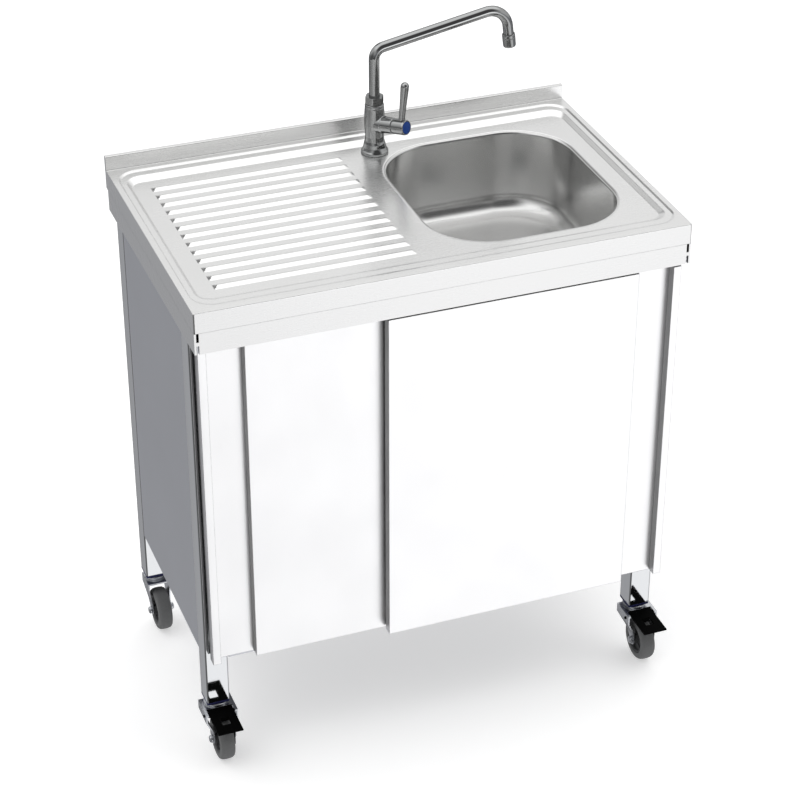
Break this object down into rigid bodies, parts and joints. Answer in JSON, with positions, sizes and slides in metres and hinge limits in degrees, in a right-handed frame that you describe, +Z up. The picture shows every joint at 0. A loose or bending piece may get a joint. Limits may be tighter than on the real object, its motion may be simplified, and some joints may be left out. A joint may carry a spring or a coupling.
{
  "type": "portable handwash sink",
  "caption": "Stainless handwash sink cabinet on swivel casters, with a ribbed drainer, a round-cornered basin, a swing tap and sliding doors.",
  "frame": {"origin": "middle of the footprint on the floor, between the front edge of the brake pedals and the splashback", "axes": "+X to the right along the front, +Y to the back, +Z up"},
  "size_m": [0.812, 0.521, 1.0756],
  "materials": {
    "worktop_steel": "satin stainless sheet with a fine horizontal grain",
    "basin_steel": "satin stainless bowl, drawn and polished evenly",
    "panel_steel": "satin stainless sheet with an upright grain",
    "door_steel": "bright satin stainless sheet with an upright grain",
    "polished_steel": "mirror-polished stainless tube",
    "chrome": "polished chrome plating",
    "index_blue": "glossy blue plastic",
    "zinc": "bright zinc-plated pressed steel",
    "navy_plastic": "dark blue moulded plastic",
    "hub_plastic": "dark moulded plastic",
    "grey_rubber": "matt grey non-marking rubber",
    "black_paint": "black coated steel",
    "guide_plastic": "black sliding plastic",
    "can_plastic": "natural white blow-moulded plastic",
    "cap_plastic": "dark blue moulded plastic",
    "hose_rubber": "black flexible hose",
    "pump_plastic": "black moulded plastic"
  },
  "bodies": {
    "sink": {"worktop": "worktop_steel", "top_frame": "worktop_steel", "basin": "basin_steel", "door_track": "panel_steel", "side_panel_left": "panel_steel", "side_panel_right": "panel_steel", "back_panel": "panel_steel", "base_shelf": "panel_steel", "door_guide": "guide_plastic", "leg_front_left": "polished_steel", "leg_front_right": "polished_steel", "leg_rear_left": "polished_steel", "leg_rear_right": "polished_steel", "tap_body": "chrome", "tap_neck_nut": "chrome", "tap_backnut": "chrome", "waste_strainer": "chrome", "fresh_water_tank": "can_plastic", "waste_water_tank": "can_plastic", "fresh_tank_cap": "cap_plastic", "waste_tank_cap": "cap_plastic", "pump_unit": "pump_plastic", "suction_hose": "hose_rubber", "supply_hose": "hose_rubber", "drain_hose": "hose_rubber", "leg_plug_front_left": "navy_plastic", "leg_plug_front_right": "navy_plastic", "leg_plug_rear_left": "navy_plastic", "leg_plug_rear_right": "navy_plastic", "caster_stem_front_left": "zinc", "caster_stem_front_right": "zinc", "caster_stem_rear_left": "zinc", "caster_stem_rear_right": "zinc"},
    "door_left": {"door_left": "door_steel", "door_left_hanger": "guide_plastic"},
    "door_right": {"door_right": "door_steel", "door_right_hanger": "guide_plastic"},
    "spout": {"tap_spout": "chrome", "tap_aerator": "chrome"},
    "tap_handle": {"tap_valve_hub": "chrome", "tap_lever": "chrome", "tap_index_disc": "index_blue"},
    "swivel_front_left": {"caster_fork_front_left": "zinc", "caster_axle_front_left": "zinc"},
    "wheel_front_left": {"caster_hub_front_left": "hub_plastic", "caster_tyre_front_left": "grey_rubber"},
    "swivel_front_right": {"caster_fork_front_right": "zinc", "caster_axle_front_right": "zinc"},
    "wheel_front_right": {"caster_hub_front_right": "hub_plastic", "caster_tyre_front_right": "grey_rubber"},
    "swivel_rear_left": {"caster_fork_rear_left": "zinc", "caster_axle_rear_left": "zinc"},
    "wheel_rear_left": {"caster_hub_rear_left": "hub_plastic", "caster_tyre_rear_left": "grey_rubber"},
    "swivel_rear_right": {"caster_fork_rear_right": "zinc", "caster_axle_rear_right": "zinc"},
    "wheel_rear_right": {"caster_hub_rear_right": "hub_plastic", "caster_tyre_rear_right": "grey_rubber"},
    "brake_front_left": {"brake_pedal_front_left": "black_paint"},
    "brake_front_right": {"brake_pedal_front_right": "black_paint"}
  },
  "joints": [
    {"name": "door_left_slide", "type": "slide", "parent": "sink", "child": "door_left", "axis": [1, 0, 0], "range_m": [0, 0.288]},
    {"name": "door_right_slide", "type": "slide", "parent": "sink", "child": "door_right", "axis": [-1, 0, 0], "range_m": [0, 0.288]},
    {"name": "spout_swivel", "type": "hinge", "parent": "sink", "child": "spout", "pos_m": [0.0339, 0.1826, 0.94], "axis": [0, 0, 1], "continuous": true},
    {"name": "tap_lever_turn", "type": "hinge", "parent": "sink", "child": "tap_handle", "pos_m": [0.0339, 0.1826, 0.9007], "axis": [0.5379, -0.8283, 0.1564], "range_deg": [0, 90]},
    {"name": "caster_swivel_front_left", "type": "hinge", "parent": "sink", "child": "swivel_front_left", "pos_m": [-0.3775, -0.174, 0.0875], "axis": [0, 0, 1], "continuous": true},
    {"name": "wheel_spin_front_left", "type": "hinge", "parent": "swivel_front_left", "child": "wheel_front_left", "pos_m": [-0.3775, -0.206, 0.0375], "axis": [1, 0, 0], "continuous": true},
    {"name": "caster_swivel_front_right", "type": "hinge", "parent": "sink", "child": "swivel_front_right", "pos_m": [0.3775, -0.174, 0.0875], "axis": [0, 0, 1], "continuous": true},
    {"name": "wheel_spin_front_right", "type": "hinge", "parent": "swivel_front_right", "child": "wheel_front_right", "pos_m": [0.3775, -0.206, 0.0375], "axis": [1, 0, 0], "continuous": true},
    {"name": "caster_swivel_rear_left", "type": "hinge", "parent": "sink", "child": "swivel_rear_left", "pos_m": [-0.3775, 0.199, 0.0875], "axis": [0, 0, 1], "continuous": true},
    {"name": "wheel_spin_rear_left", "type": "hinge", "parent": "swivel_rear_left", "child": "wheel_rear_left", "pos_m": [-0.3775, 0.167, 0.0375], "axis": [1, 0, 0], "continuous": true},
    {"name": "caster_swivel_rear_right", "type": "hinge", "parent": "sink", "child": "swivel_rear_right", "pos_m": [0.3775, 0.199, 0.0875], "axis": [0, 0, 1], "continuous": true},
    {"name": "wheel_spin_rear_right", "type": "hinge", "parent": "swivel_rear_right", "child": "wheel_rear_right", "pos_m": [0.3775, 0.167, 0.0375], "axis": [1, 0, 0], "continuous": true},
    {"name": "brake_front_left", "type": "hinge", "parent": "swivel_front_left", "child": "brake_front_left", "pos_m": [-0.3775, -0.1985, 0.0815], "axis": [1, 0, 0], "range_deg": [0, 7]},
    {"name": "brake_front_right", "type": "hinge", "parent": "swivel_front_right", "child": "brake_front_right", "pos_m": [0.3775, -0.1985, 0.0815], "axis": [1, 0, 0], "range_deg": [0, 7]}
  ]
}
